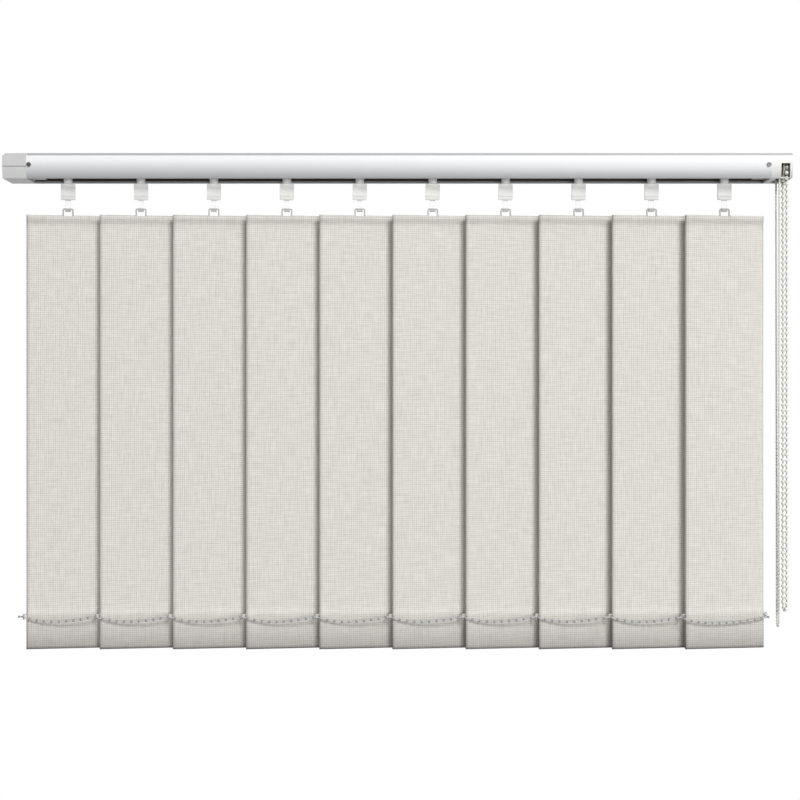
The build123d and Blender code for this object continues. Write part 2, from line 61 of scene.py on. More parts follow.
# Shared effects. The fine grain is fineTimes as dense as the broad one, and bumpDepth is in millimetres
mottle = {"broadDetail": 3.0, "fineDetail": 2.0, "fineTimes": 22.0, "bumpDepth": 0.2}
# Yarns and uneven places to a UV unit of 100 mm, and how much each changes the shade
weaving = {"yarn": 44.0, "slub": 5.0, "ridge": 0.19, "uneven": 0.5, "detail": 2.0}


def newGroup(name, inputs, outputs):
    group = bpy.data.node_groups.new(name, "ShaderNodeTree")
    for label, kind, value in inputs:
        socket = group.interface.new_socket(label, in_out="INPUT", socket_type=kind)
        if value is not None:
            socket.default_value = value
    for label, kind in outputs:
        group.interface.new_socket(label, in_out="OUTPUT", socket_type=kind)
    return group, group.nodes.new("NodeGroupInput"), group.nodes.new("NodeGroupOutput")


def surfaceGrainGroup():
    # Faint mottling for moulded and lacquered surfaces: colour, roughness and bump height
    group, given, out = newGroup(
        "surfaceGrain",
        [("Scale", "NodeSocketFloat", None), ("Tone A", "NodeSocketColor", None),
         ("Tone B", "NodeSocketColor", None), ("Rough A", "NodeSocketFloat", None),
         ("Rough B", "NodeSocketFloat", None)],
        [("Color", "NodeSocketColor"), ("Roughness", "NodeSocketFloat"), ("Height", "NodeSocketFloat")])
    link = group.links.new
    place = group.nodes.new("ShaderNodeTexCoord")
    broad = group.nodes.new("ShaderNodeTexNoise")
    broad.inputs["Detail"].default_value = mottle["broadDetail"]
    fine = group.nodes.new("ShaderNodeTexNoise")
    fine.inputs["Detail"].default_value = mottle["fineDetail"]
    times = group.nodes.new("ShaderNodeMath")
    times.operation = "MULTIPLY"
    times.inputs[1].default_value = mottle["fineTimes"]
    link(given.outputs["Scale"], times.inputs[0])
    link(given.outputs["Scale"], broad.inputs["Scale"])
    link(times.outputs[0], fine.inputs["Scale"])
    link(place.outputs["Object"], broad.inputs["Vector"])
    link(place.outputs["Object"], fine.inputs["Vector"])
    tone = group.nodes.new("ShaderNodeMix")
    tone.data_type = "RGBA"
    link(broad.outputs["Fac"], tone.inputs["Factor"])
    link(given.outputs["Tone A"], tone.inputs["A"])
    link(given.outputs["Tone B"], tone.inputs["B"])
    rough = group.nodes.new("ShaderNodeMix")
    link(broad.outputs["Fac"], rough.inputs["Factor"])
    link(given.outputs["Rough A"], rough.inputs["A"])
    link(given.outputs["Rough B"], rough.inputs["B"])
    link(tone.outputs["Result"], out.inputs["Color"])
    link(rough.outputs["Result"], out.inputs["Roughness"])
    link(fine.outputs["Fac"], out.inputs["Height"])
    return group


def weaveGroup():
    # Plain weave: a grid of yarns that differ a little along and between themselves, on the cloth's own UV
    group, given, out = newGroup(
        "weave",
        [("Yarn", "NodeSocketFloat", weaving["yarn"]), ("Slub", "NodeSocketFloat", weaving["slub"])],
        [("Shade", "NodeSocketFloat"), ("Height", "NodeSocketFloat")])
    link = group.links.new

    def maths(operation, first, second):
        node = group.nodes.new("ShaderNodeMath")
        node.operation = operation
        for socket, value in zip(node.inputs, (first, second)):
            if isinstance(value, float):
                socket.default_value = value
            else:
                link(value, socket)
        return node.outputs[0]

    place = group.nodes.new("ShaderNodeUVMap")
    place.uv_map = "cloth"
    split = group.nodes.new("ShaderNodeSeparateXYZ")
    link(place.outputs["UV"], split.inputs["Vector"])
    shades = []
    for fast, slow in (("X", "Y"), ("Y", "X")):
        count = maths("MULTIPLY", split.outputs[fast], given.outputs["Yarn"])
        join = group.nodes.new("ShaderNodeCombineXYZ")
        link(count, join.inputs["X"])
        link(maths("MULTIPLY", split.outputs[slow], given.outputs["Slub"]), join.inputs["Y"])
        uneven = group.nodes.new("ShaderNodeTexNoise")
        uneven.inputs["Scale"].default_value = 1.0
        uneven.inputs["Detail"].default_value = weaving["detail"]
        link(join.outputs["Vector"], uneven.inputs["Vector"])
        ridge = group.nodes.new("ShaderNodeMath")
        ridge.operation = "COSINE"
        link(maths("MULTIPLY", count, 2 * math.pi), ridge.inputs[0])
        yarn = maths("MULTIPLY", ridge.outputs[0], weaving["ridge"])
        shades.append(maths("ADD", yarn, maths("MULTIPLY", uneven.outputs["Fac"], weaving["uneven"])))
    shade = maths("ADD", shades[0], shades[1])
    link(shade, out.inputs["Shade"])
    link(shade, out.inputs["Height"])
    return group


surfaceGrain = surfaceGrainGroup()
weave = weaveGroup()


def newMaterial(name):
    material = bpy.data.materials.new(name)
    material.use_nodes = True
    tree = material.node_tree
    return material, tree.nodes, tree.links.new, tree.nodes["Principled BSDF"]


def grainMaterial(name, look):
    material, tree, link, shader = newMaterial(name)
    grain = tree.new("ShaderNodeGroup")
    grain.node_tree = surfaceGrain
    grain.inputs["Scale"].default_value = look["scale"]
    grain.inputs["Tone A"].default_value = (*look["tones"][0], 1)
    grain.inputs["Tone B"].default_value = (*look["tones"][1], 1)
    grain.inputs["Rough A"].default_value = look["rough"][0]
    grain.inputs["Rough B"].default_value = look["rough"][1]
    bump = tree.new("ShaderNodeBump")
    bump.inputs["Strength"].default_value = look["bump"]
    bump.inputs["Distance"].default_value = mottle["bumpDepth"] * mm
    link(grain.outputs["Color"], shader.inputs["Base Color"])
    link(grain.outputs["Roughness"], shader.inputs["Roughness"])
    link(grain.outputs["Height"], bump.inputs["Height"])
    link(bump.outputs["Normal"], shader.inputs["Normal"])
    shader.inputs["Metallic"].default_value = look.get("metal", 0.0)
    shader.inputs["Coat Weight"].default_value = look.get("coat", 0.0)
    return material


def openedMaterial(name, look):
    # A grain material with its tree, the input for its colour and the plain colour that goes into it
    material = grainMaterial(name, look)
    tree = material.node_tree
    colour = tree.nodes["Principled BSDF"].inputs["Base Color"]
    return material, tree.nodes, tree.links.new, colour, colour.links[0].from_socket


def objectPlace(tree, link):
    place = tree.new("ShaderNodeTexCoord").outputs["Object"]
    split = tree.new("ShaderNodeSeparateXYZ")
    link(place, split.inputs["Vector"])
    return place, split.outputs


def mathWith(tree, link, source, operation, value):
    node = tree.new("ShaderNodeMath")
    node.operation = operation
    node.inputs[1].default_value = value
    link(source, node.inputs[0])
    return node.outputs[0]


def allOf(tree, link, tests):
    mask = tests[0]
    for test in tests[1:]:
        both = tree.new("ShaderNodeMath")
        both.operation = "MULTIPLY"
        link(mask, both.inputs[0])
        link(test, both.inputs[1])
        mask = both.outputs[0]
    return mask


def blendTone(tree, link, mask, under, tone):
    mix = tree.new("ShaderNodeMix")
    mix.data_type = "RGBA"
    link(mask, mix.inputs["Factor"])
    link(under, mix.inputs["A"])
    mix.inputs["B"].default_value = (*tone, 1)
    return mix.outputs["Result"]


# Rail and control housing, in millimetres: the hollow inside them, then levels on their outside
hollow = {"half": 19.9, "top": -6.3, "floor": -24.9, "end": 424.8}
outside = {"lip": -2.62, "belly": -7.0, "foot": -27.2}


def shellMaterial(name, look):
    # Pale outside with painted shade that greys it towards its lower edge, a grey lip along the top, and
    # painted shade that darkens the hollow inside
    material, tree, link, colour, plain = openedMaterial(name, look)
    axes = objectPlace(tree, link)[1]
    depth = tree.new("ShaderNodeMath")
    depth.operation = "ABSOLUTE"
    link(axes["Y"], depth.inputs[0])
    # Painted shade: the hollow inside the rail and housing is coloured dark, as shade falls there
    paintedShadeInside = allOf(tree, link, [
        mathWith(tree, link, depth.outputs[0], "LESS_THAN", hollow["half"] * mm),
        mathWith(tree, link, axes["Z"], "LESS_THAN", hollow["top"] * mm),
        mathWith(tree, link, axes["Z"], "GREATER_THAN", hollow["floor"] * mm),
        mathWith(tree, link, axes["X"], "LESS_THAN", hollow["end"] * mm)])
    # Painted shade: the outside greys towards its lower edge, which turns away from the light
    under = tree.new("ShaderNodeMapRange")
    under.inputs["From Min"].default_value = outside["belly"] * mm
    under.inputs["From Max"].default_value = outside["foot"] * mm
    link(axes["Z"], under.inputs["Value"])
    shaded = blendTone(tree, link, under.outputs["Result"], plain, look["under"])
    lip = mathWith(tree, link, axes["Z"], "GREATER_THAN", outside["lip"] * mm)
    lipped = blendTone(tree, link, lip, shaded, look["lip"])
    link(blendTone(tree, link, paintedShadeInside, lipped, look["paintedShadeInside"]), colour)
    return material


# Groove across the end cap's face, in millimetres
seam = {"top": -14.08, "foot": -14.72, "face": -21.0}


def capMaterial(name, look):
    # Grey plastic, dark in the groove across its face
    material, tree, link, colour, plain = openedMaterial(name, look)
    axes = objectPlace(tree, link)[1]
    groove = allOf(tree, link, [
        mathWith(tree, link, axes["Z"], "LESS_THAN", seam["top"] * mm),
        mathWith(tree, link, axes["Z"], "GREATER_THAN", seam["foot"] * mm),
        mathWith(tree, link, axes["Y"], "LESS_THAN", seam["face"] * mm)])
    link(blendTone(tree, link, groove, plain, look["groove"]), colour)
    return material


materials = {
    # In the rail and housing looks, the under tone is painted shade at the lower edge and the dark inside
    # tone is painted shade in the hollow
    "rail_lacquer": shellMaterial("railLacquer", {
        "tones": ((0.9, 0.905, 0.915), (0.93, 0.935, 0.945)), "scale": 40.0, "rough": (0.32, 0.4),
        "bump": 0.04, "lip": (0.46, 0.46, 0.47), "under": (0.33, 0.335, 0.345),
        "paintedShadeInside": (0.03, 0.025, 0.02)}),
    "white_plastic": shellMaterial("whitePlastic", {
        "tones": ((0.87, 0.87, 0.86), (0.91, 0.91, 0.9)), "scale": 60.0, "rough": (0.36, 0.46),
        "bump": 0.08, "lip": (0.5, 0.49, 0.5), "under": (0.5, 0.5, 0.495),
        "paintedShadeInside": (0.2, 0.17, 0.12)}),
    "cap_plastic": capMaterial("capPlastic", {
        "tones": ((0.56, 0.56, 0.56), (0.62, 0.62, 0.62)), "scale": 60.0, "rough": (0.4, 0.5),
        "bump": 0.08, "groove": (0.12, 0.12, 0.12)}),
    "screw_steel": grainMaterial("screwSteel", {
        "tones": ((0.06, 0.06, 0.062), (0.12, 0.12, 0.124)), "scale": 200.0, "rough": (0.3, 0.42),
        "bump": 0.05, "metal": 1.0}),
    "bead_thread": grainMaterial("beadThread", {
        "tones": ((0.16, 0.15, 0.12), (0.24, 0.23, 0.19)), "scale": 300.0, "rough": (0.7, 0.85),
        "bump": 0.2}),
    "inner_plastic": grainMaterial("innerPlastic", {
        "tones": ((0.62, 0.61, 0.57), (0.68, 0.67, 0.63)), "scale": 70.0, "rough": (0.45, 0.55),
        "bump": 0.08}),
    "clip_steel": grainMaterial("clipSteel", {
        "tones": ((0.55, 0.55, 0.56), (0.63, 0.63, 0.64)), "scale": 120.0, "rough": (0.28, 0.4),
        "bump": 0.05, "metal": 1.0}),
    "rod_aluminium": grainMaterial("rodAluminium", {
        "tones": ((0.68, 0.68, 0.69), (0.75, 0.75, 0.76)), "scale": 90.0, "rough": (0.3, 0.42),
        "bump": 0.05, "metal": 1.0}),
    "weight_plastic": grainMaterial("weightPlastic", {
        "tones": ((0.5, 0.5, 0.49), (0.56, 0.56, 0.55)), "scale": 50.0, "rough": (0.5, 0.6),
        "bump": 0.1}),
    "bead_plastic": grainMaterial("beadPlastic", {
        "tones": ((0.82, 0.82, 0.8), (0.89, 0.89, 0.87)), "scale": 80.0, "rough": (0.2, 0.3),
        "bump": 0.03, "coat": 0.2}),
    "spacer_bead": grainMaterial("spacerBead", {
        "tones": ((0.26, 0.26, 0.255), (0.34, 0.34, 0.335)), "scale": 80.0, "rough": (0.2, 0.3),
        "bump": 0.03, "coat": 0.3}),
    "cord_fibre": grainMaterial("cordFibre", {
        "tones": ((0.78, 0.77, 0.73), (0.91, 0.9, 0.87)), "scale": 240.0, "rough": (0.75, 0.9),
        "bump": 0.35}),
}


# Steps are height in millimetres, tone and opacity: grey loop at the foot, clear tongue, pale blade and stem
hook = {
    "foot": -72.0, "top": -20.0, "grain": 160.0, "rough": (0.25, 0.4), "blueShare": 0.985,
    "steps": [(-57.6, 0.36, 1.0), (-57.0, 0.8, 0.16), (-48.6, 0.8, 0.16), (-47.8, 0.66, 0.95),
              (-42.0, 0.7, 1.0), (-33.0, 0.9, 1.0)],
}


def hookMaterial():
    material, tree, link, shader = newMaterial("hookPlastic")
    place, axes = objectPlace(tree, link)
    span = tree.new("ShaderNodeMapRange")
    span.inputs["From Min"].default_value = hook["foot"] * mm
    span.inputs["From Max"].default_value = hook["top"] * mm
    link(axes["Z"], span.inputs["Value"])
    grain = tree.new("ShaderNodeTexNoise")
    grain.inputs["Scale"].default_value = hook["grain"]
    link(place, grain.inputs["Vector"])
    ramp = tree.new("ShaderNodeValToRGB")
    elements = ramp.color_ramp.elements
    for index, (height, tone, solid) in enumerate(hook["steps"]):
        share = (height - hook["foot"]) / (hook["top"] - hook["foot"])
        element = elements[index] if index < 2 else elements.new(share)
        element.position = share
        element.color = (tone, tone, hook["blueShare"] * tone, solid)
    link(span.outputs["Result"], ramp.inputs["Fac"])
    rough = tree.new("ShaderNodeMapRange")
    rough.inputs["To Min"].default_value, rough.inputs["To Max"].default_value = hook["rough"]
    link(grain.outputs["Fac"], rough.inputs["Value"])
    link(ramp.outputs["Color"], shader.inputs["Base Color"])
    link(ramp.outputs["Alpha"], shader.inputs["Alpha"])
    link(rough.outputs["Result"], shader.inputs["Roughness"])
    return material


materials["hook_plastic"] = hookMaterial()


# Steps are height in millimetres and tone: lower edge, doubled hem whose darker tone is painted shadow of the
# weight and second layer behind the cloth, fold line, web and hanger band.
# Edge places are UV distances from the middle of the cloth, in units of 100 mm; between them lies a painted
# shade line along each long edge
clothLook = {
    "tones": ((0.52, 0.5, 0.465), (0.87, 0.845, 0.8)), "foot": -540.0, "top": -64.0,
    "steps": [(-540.0, 0.1), (-538.4, 0.3), (-537.2, 0.6), (-520.0, 0.82), (-503.0, 0.9), (-499.6, 1.04),
              (-497.0, 1.04), (-494.0, 1.0), (-76.0, 1.0), (-73.0, 0.82), (-70.0, 0.82), (-68.0, 0.97)],
    "middle": 0.445, "edgeShadeFrom": 0.4385, "edgeShadeTo": 0.4445, "edgeShadeTone": 0.62,
    "bump": 0.35, "bumpDepth": 0.3, "rough": 0.9, "specular": 0.15,
}


def multiplyTones(tree, link, first, second):
    mix = tree.new("ShaderNodeMix")
    mix.data_type = "RGBA"
    mix.blend_type = "MULTIPLY"
    mix.inputs["Factor"].default_value = 1.0
    link(first, mix.inputs["A"])
    link(second, mix.inputs["B"])
    return mix.outputs["Result"]


def lengthTones(tree, link):
    # Tone down the length of the cloth, with painted shadow over the hem
    level = tree.new("ShaderNodeMapRange")
    level.inputs["From Min"].default_value = clothLook["foot"] * mm
    level.inputs["From Max"].default_value = clothLook["top"] * mm
    link(objectPlace(tree, link)[1]["Z"], level.inputs["Value"])
    tones = tree.new("ShaderNodeValToRGB")
    elements = tones.color_ramp.elements
    for index, (height, tone) in enumerate(clothLook["steps"]):
        share = (height - clothLook["foot"]) / (clothLook["top"] - clothLook["foot"])
        element = elements[0] if index == 0 else elements.new(share)
        element.position = share
        element.color = (tone, tone, tone, 1)
    elements.remove(elements[-1])
    link(level.outputs["Result"], tones.inputs["Fac"])
    return tones.outputs["Color"]


def paintedEdgeShade(tree, link):
    # Painted shade: a thin darker line along both sides of the cloth
    width = tree.new("ShaderNodeUVMap")
    width.uv_map = "cloth"
    sides = tree.new("ShaderNodeSeparateXYZ")
    link(width.outputs["UV"], sides.inputs["Vector"])
    away = tree.new("ShaderNodeMath")
    away.operation = "ABSOLUTE"
    link(mathWith(tree, link, sides.outputs["X"], "SUBTRACT", clothLook["middle"]), away.inputs[0])
    edgeShade = tree.new("ShaderNodeMapRange")
    edgeShade.inputs["From Min"].default_value = clothLook["edgeShadeFrom"]
    edgeShade.inputs["From Max"].default_value = clothLook["edgeShadeTo"]
    edgeShade.inputs["To Min"].default_value = 1.0
    edgeShade.inputs["To Max"].default_value = clothLook["edgeShadeTone"]
    link(away.outputs[0], edgeShade.inputs["Value"])
    return edgeShade.outputs["Result"]


def clothMaterial():
    material, tree, link, shader = newMaterial("slatCloth")
    threads = tree.new("ShaderNodeGroup")
    threads.node_tree = weave
    ramp = tree.new("ShaderNodeValToRGB")
    for element, tone in zip(ramp.color_ramp.elements, clothLook["tones"]):
        element.color = (*tone, 1)
    link(threads.outputs["Shade"], ramp.inputs["Fac"])
    # The painted shade along the long edges is multiplied into the cloth's colour here
    tones = multiplyTones(tree, link, lengthTones(tree, link), paintedEdgeShade(tree, link))
    link(multiplyTones(tree, link, ramp.outputs["Color"], tones), shader.inputs["Base Color"])
    bump = tree.new("ShaderNodeBump")
    bump.inputs["Strength"].default_value = clothLook["bump"]
    bump.inputs["Distance"].default_value = clothLook["bumpDepth"] * mm
    link(threads.outputs["Height"], bump.inputs["Height"])
    link(bump.outputs["Normal"], shader.inputs["Normal"])
    shader.inputs["Roughness"].default_value = clothLook["rough"]
    shader.inputs["Specular IOR Level"].default_value = clothLook["specular"]
    return material


materials["slat_cloth"] = clothMaterial()
slotOf = {row["node"]: row["material_slot"] for row in frame["record"]["subparts"]}
for name, piece in nodes.items():
    piece.data.materials.clear()
    piece.data.materials.append(materials[slotOf[name]])
print("materials set on", len(nodes), "nodes")


def meshPiece(name, points, faces, slot, uvs=None):
    mesh = bpy.data.meshes.new(name)
    mesh.from_pydata(points, [], faces)
    if uvs:
        layer = mesh.uv_layers.new(name="cloth")
        for loop in mesh.loops:
            layer.data[loop.index].uv = uvs[loop.vertex_index]
    piece = bpy.data.objects.new(name, mesh)
    bpy.context.scene.collection.objects.link(piece)
    mesh.materials.append(materials[slot])
    return piece


# Slats: one band of cloth folded round the hanger at the top and the weight at the bottom, in millimetres.
# The weave's UV is in units of 100 mm, and it is shifted by some units from slat to slat
cloth = {
    "gauge": 0.5, "width": 89.0, "neck": 12.6, "neckFoot": -66.1, "columns": 22, "rows": 44,
    "webFoot": -498.9, "webHeight": 425.4, "cutEdge": 0.52,
    "hemFold": 1.1, "hemTop": -500.6, "hemDepth": 38.0, "hemRound": 1.0, "hemSteps": 6, "hemTurns": 8,
    "bandFold": 0.9, "bandTop": -66.0, "bandFoot": -71.8, "bandRound": 0.8, "bandTurns": 6, "bandEnd": -73.3,
    "wave": 0.12, "waveFoot": -497.0, "waveTop": -76.0, "waveDown": 95.0, "waveAcross": 40.0,
    "lastPhase": 6.28, "unit": 100.0, "shift": 7.3,
}


def foldedPath():
    # Points (front to back, height) along the cloth, from the cut edge of the hem to that of the top band
    fold, top = cloth["hemFold"], cloth["hemTop"]
    foot = top - cloth["hemDepth"]
    rises = [cloth["hemDepth"] * step / cloth["hemSteps"] for step in range(cloth["hemSteps"] + 1)]
    path = [(cloth["cutEdge"], cloth["webFoot"])]
    path += [(fold, top - rise) for rise in rises]
    for step in range(1, cloth["hemTurns"]):
        turn = math.pi * step / cloth["hemTurns"]
        path.append((fold * math.cos(turn), foot - cloth["hemRound"] * math.sin(turn)))
    path += [(-fold, foot + rise) for rise in rises]
    rows = cloth["rows"]
    path += [(0, cloth["webFoot"] + cloth["webHeight"] * step / rows) for step in range(rows + 1)]
    fold, top, foot = cloth["bandFold"], cloth["bandTop"], cloth["bandFoot"]
    path += [(-fold, foot), (-fold, top)]
    for step in range(1, cloth["bandTurns"]):
        turn = math.pi * step / cloth["bandTurns"]
        path.append((-fold * math.cos(turn), top + cloth["bandRound"] * math.sin(turn)))
    return path + [(fold, top), (fold, foot), (cloth["cutEdge"], cloth["bandEnd"])]


def slatPoints(number, path, lengths, columns):
    # Both faces of the cloth, with a slight wave of its own between the hems
    phase = random.Random(number).uniform(0, cloth["lastPhase"])
    points, uvs = [], []
    for side in (1, -1):
        for index, (depth, height) in enumerate(path):
            before = path[max(index - 1, 0)]
            after = path[min(index + 1, len(path) - 1)]
            along = Vector((after[0] - before[0], after[1] - before[1])).normalized()
            offset = side * cloth["gauge"] / 2
            share = (height - cloth["waveFoot"]) / (cloth["waveTop"] - cloth["waveFoot"])
            for across in columns:
                wave = 0.0
                if 0 < share < 1:
                    swing = math.sin(phase + height / cloth["waveDown"] + across / cloth["waveAcross"])
                    wave = cloth["wave"] * math.sin(math.pi * share) * swing
                through = depth + wave + offset * along[1]
                point = stemPlaces[number] + acrossSlat * across * mm + throughSlat * through * mm
                points.append((point.x, point.y, (height - offset * along[0]) * mm))
                uvs.append(((across + cloth["width"] / 2) / cloth["unit"],
                            lengths[index] / cloth["unit"] + number * cloth["shift"]))
    return points, uvs


def slatFaces(path, columns):
    # Both faces, open at the top where the hanger passes, then the long edges and the cut edges
    rows, wide = len(path), len(columns)
    layer = rows * wide
    faces = []
    for index in range(rows - 1):
        atTop = min(path[index][1], path[index + 1][1]) > cloth["neckFoot"]
        for step in range(wide - 1):
            middle = (columns[step] + columns[step + 1]) / 2
            if atTop and abs(middle) < cloth["neck"] / 2:
                continue
            near = index * wide + step
            far = layer + near
            faces.append((near, near + wide, near + wide + 1, near + 1))
            faces.append((far, far + 1, far + wide + 1, far + wide))
    for index in range(rows - 1):
        for step in (0, wide - 1):
            near = index * wide + step
            ring = (near, layer + near, layer + near + wide, near + wide)
            faces.append(ring if step == 0 else ring[::-1])
    for index in (0, rows - 1):
        for step in range(wide - 1):
            near = index * wide + step
            ring = (near, near + 1, layer + near + 1, layer + near)
            faces.append(ring if index == 0 else ring[::-1])
    return faces


def slatPiece(number):
    path = foldedPath()
    lengths = [0.0]
    for start, end in zip(path, path[1:]):
        lengths.append(lengths[-1] + math.dist(start, end))
    half = cloth["width"] / 2
    columns = [-half + cloth["width"] * step / cloth["columns"] for step in range(cloth["columns"] + 1)]
    columns = sorted(columns + [-cloth["neck"] / 2, cloth["neck"] / 2])
    points, uvs = slatPoints(number, path, lengths, columns)
    piece = meshPiece(f"cloth_{number + 1:02d}", points, slatFaces(path, columns), "slat_cloth", uvs)
    for polygon in piece.data.polygons:
        polygon.use_smooth = True
    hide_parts(f"slat_{number + 1:02d}")
    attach(piece, f"louvre_{number + 1:02d}")
    return lengths[-1]


clothLengths = [slatPiece(number) for number in range(slatCount)]
print("slats made, cloth length", round(clothLengths[0], 1))


# Trees that follow a path
def newTree(name, sizes, slots):
    tree = bpy.data.node_groups.new(name, "GeometryNodeTree")
    sockets = [("Geometry", "INPUT", "Geometry")] + [(label, "INPUT", "Float") for label in sizes]
    sockets += [(label, "INPUT", "Material") for label in slots] + [("Geometry", "OUTPUT", "Geometry")]
    for label, side, kind in sockets:
        tree.interface.new_socket(label, in_out=side, socket_type="NodeSocket" + kind)
    return tree, tree.links.new, tree.nodes.new("NodeGroupInput"), tree.nodes.new("NodeGroupOutput")


def beadTree():
    # Beads strung at a pitch on a round thread
    tree, link, given, out = newTree(
        "beadsOnPath", ["Radius", "Pitch", "Thread"], ["Material", "Thread Material"])
    points = tree.nodes.new("GeometryNodeCurveToPoints")
    points.mode = "LENGTH"
    link(given.outputs["Geometry"], points.inputs["Curve"])
    link(given.outputs["Pitch"], points.inputs["Length"])
    bead = tree.nodes.new("GeometryNodeMeshUVSphere")
    bead.inputs["Segments"].default_value = 16
    bead.inputs["Rings"].default_value = 10
    link(given.outputs["Radius"], bead.inputs["Radius"])
    place = tree.nodes.new("GeometryNodeInstanceOnPoints")
    link(points.outputs["Points"], place.inputs["Points"])
    link(bead.outputs["Mesh"], place.inputs["Instance"])
    real = tree.nodes.new("GeometryNodeRealizeInstances")
    link(place.outputs["Instances"], real.inputs["Geometry"])
    smooth = tree.nodes.new("GeometryNodeSetShadeSmooth")
    link(real.outputs["Geometry"], smooth.inputs["Geometry"])
    ring = tree.nodes.new("GeometryNodeCurvePrimitiveCircle")
    ring.inputs["Resolution"].default_value = 8
    link(given.outputs["Thread"], ring.inputs["Radius"])
    thread = tree.nodes.new("GeometryNodeCurveToMesh")
    link(given.outputs["Geometry"], thread.inputs["Curve"])
    link(ring.outputs["Curve"], thread.inputs["Profile Curve"])
    both = tree.nodes.new("GeometryNodeJoinGeometry")
    for part, label in ((thread.outputs["Mesh"], "Thread Material"),
                        (smooth.outputs["Geometry"], "Material")):
        paint = tree.nodes.new("GeometryNodeSetMaterial")
        link(part, paint.inputs["Geometry"])
        link(given.outputs[label], paint.inputs["Material"])
        link(paint.outputs["Geometry"], both.inputs["Geometry"])
    link(both.outputs["Geometry"], out.inputs["Geometry"])
    return tree


# How far each ply of a cord lies from its axis, in ply radii
plyShift = 0.84


def twistTree():
    # Two plies side by side, turned along the path
    tree, link, given, out = newTree("twistedCord", ["Ply Radius", "Turns Per Metre", "Step"], ["Material"])
    even = tree.nodes.new("GeometryNodeResampleCurve")
    even.mode = "LENGTH"
    link(given.outputs["Geometry"], even.inputs["Curve"])
    link(given.outputs["Step"], even.inputs["Length"])
    along = tree.nodes.new("GeometryNodeSplineParameter")
    turns = tree.nodes.new("ShaderNodeMath")
    turns.operation = "MULTIPLY"
    link(along.outputs["Length"], turns.inputs[0])
    link(given.outputs["Turns Per Metre"], turns.inputs[1])
    angle = tree.nodes.new("ShaderNodeMath")
    angle.operation = "MULTIPLY"
    angle.inputs[1].default_value = 2 * math.pi
    link(turns.outputs[0], angle.inputs[0])
    tilted = tree.nodes.new("GeometryNodeSetCurveTilt")
    link(even.outputs["Curve"], tilted.inputs["Curve"])
    link(angle.outputs[0], tilted.inputs["Tilt"])
    joined = tree.nodes.new("GeometryNodeJoinGeometry")
    for side in (1, -1):
        ring = tree.nodes.new("GeometryNodeCurvePrimitiveCircle")
        ring.inputs["Resolution"].default_value = 8
        link(given.outputs["Ply Radius"], ring.inputs["Radius"])
        shift = tree.nodes.new("ShaderNodeMath")
        shift.operation = "MULTIPLY"
        shift.inputs[1].default_value = plyShift * side
        link(given.outputs["Ply Radius"], shift.inputs[0])
        place = tree.nodes.new("ShaderNodeCombineXYZ")
        link(shift.outputs[0], place.inputs["X"])
        moved = tree.nodes.new("GeometryNodeTransform")
        link(ring.outputs["Curve"], moved.inputs["Geometry"])
        link(place.outputs["Vector"], moved.inputs["Translation"])
        ply = tree.nodes.new("GeometryNodeCurveToMesh")
        ply.inputs["Fill Caps"].default_value = True
        link(tilted.outputs["Curve"], ply.inputs["Curve"])
        link(moved.outputs["Geometry"], ply.inputs["Profile Curve"])
        link(ply.outputs["Mesh"], joined.inputs["Geometry"])
    smooth = tree.nodes.new("GeometryNodeSetShadeSmooth")
    link(joined.outputs["Geometry"], smooth.inputs["Geometry"])
    real = tree.nodes.new("GeometryNodeRealizeInstances")
    link(smooth.outputs["Geometry"], real.inputs["Geometry"])
    paint = tree.nodes.new("GeometryNodeSetMaterial")
    link(real.outputs["Geometry"], paint.inputs["Geometry"])
    link(given.outputs["Material"], paint.inputs["Material"])
    link(paint.outputs["Geometry"], out.inputs["Geometry"])
    return tree


beads = beadTree()
twist = twistTree()


def pathPiece(name, routes, tree, values, slot):
    # One plain mesh from a tree that follows the routes
    curve = bpy.data.curves.new(name + "Path", "CURVE")
    curve.dimensions = "3D"
    for route in routes:
        spline = curve.splines.new("POLY")
        spline.points.add(len(route) - 1)
        for point, place in zip(spline.points, route):
            point.co = (*place, 1)
    holder = bpy.data.objects.new(name + "Path", curve)
    bpy.context.scene.collection.objects.link(holder)
    modifier = holder.modifiers.new("grow", "NODES")
    modifier.node_group = tree
    given = {item.name: item.identifier for item in tree.interface.items_tree if item.in_out == "INPUT"}
    for label, value in {"Material": materials[slot], **values}.items():
        modifier[given[label]] = value
    grown = holder.evaluated_get(bpy.context.evaluated_depsgraph_get())
    mesh = bpy.data.meshes.new_from_object(grown)
    mesh.name = name
    piece = bpy.data.objects.new(name, mesh)
    bpy.context.scene.collection.objects.link(piece)
    bpy.data.objects.remove(holder)
    return piece


def splinePoints(route):
    # Smooth line of a cord: a NURBS spline with the route's points, in millimetres, as its control points
    curve = bpy.data.curves.new("route", "CURVE")
    curve.dimensions = "3D"
    spline = curve.splines.new("NURBS")
    spline.points.add(len(route) - 1)
    for point, place in zip(spline.points, route):
        point.co = (*(Vector(place) * mm), 1)
    spline.order_u = 3
    spline.use_endpoint_u = True
    holder = bpy.data.objects.new("route", curve)
    bpy.context.scene.collection.objects.link(holder)
    line = bpy.data.meshes.new_from_object(holder.evaluated_get(bpy.context.evaluated_depsgraph_get()))
    points = [vertex.co.copy() for vertex in line.vertices]
    bpy.data.objects.remove(holder)
    return points


def routeLength(points):
    return sum((end - start).length for start, end in zip(points, points[1:]))


